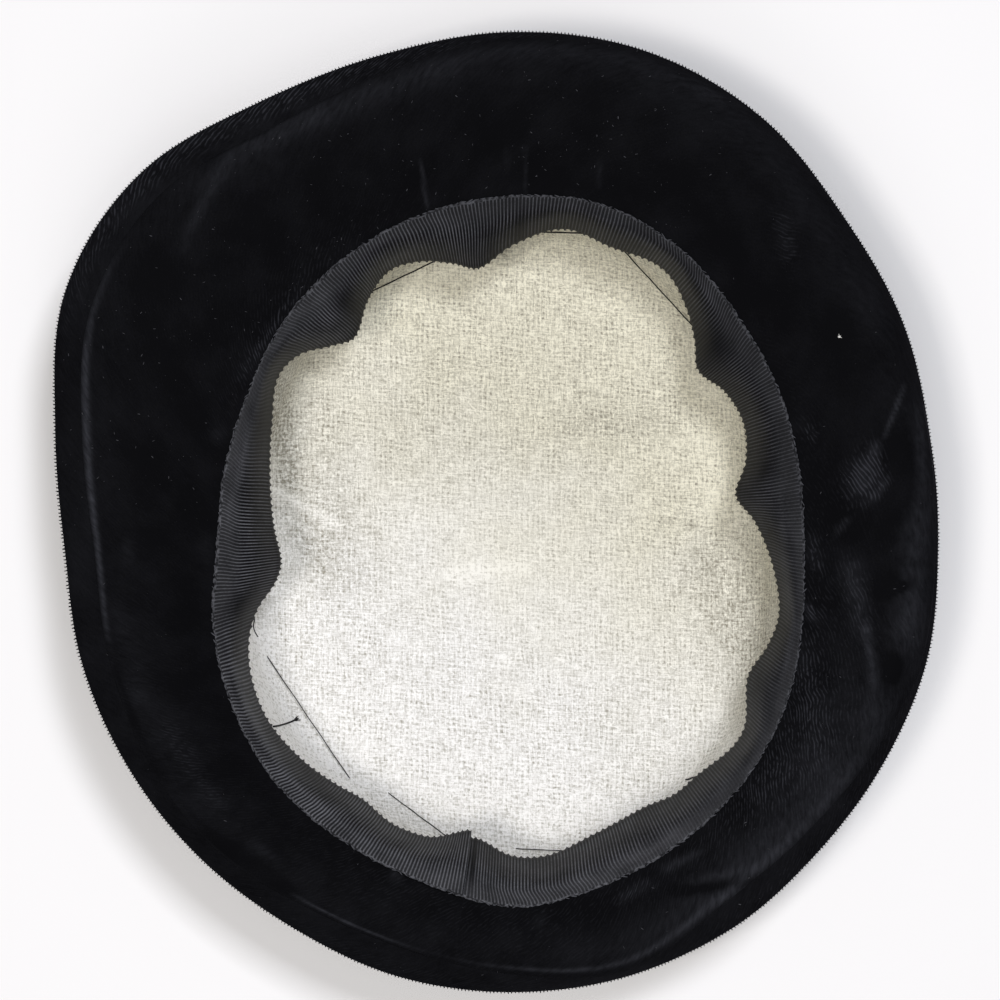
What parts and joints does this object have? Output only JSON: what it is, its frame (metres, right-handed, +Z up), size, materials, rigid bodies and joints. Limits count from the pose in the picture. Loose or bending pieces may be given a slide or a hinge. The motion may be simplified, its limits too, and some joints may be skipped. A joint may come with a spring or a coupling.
{
  "type": "saucer hat",
  "caption": "Velvet hat with a shallow crown and a wide dished brim, lying upside down, with a buckram shell and a ribbed ribbon inside the head opening.",
  "frame": {"origin": "on the surface the hat lies on, under the middle of its outline", "axes": "+Z up out of the head opening, +Y towards the front of the hat, +X across it"},
  "size_m": [0.2354, 0.2566, 0.075],
  "materials": {
    "velvet": "black silk-like velvet with a short pile",
    "buckram": "stiff open-weave cotton, off-white",
    "petersham": "black ribbed ribbon with a soft sheen along the ribs"
  },
  "bodies": {
    "root": {"crown_cover": "velvet", "crown_foundation": "buckram", "brim_cover": "velvet", "brim_facing": "velvet", "sweatband": "petersham"}
  },
  "joints": []
}
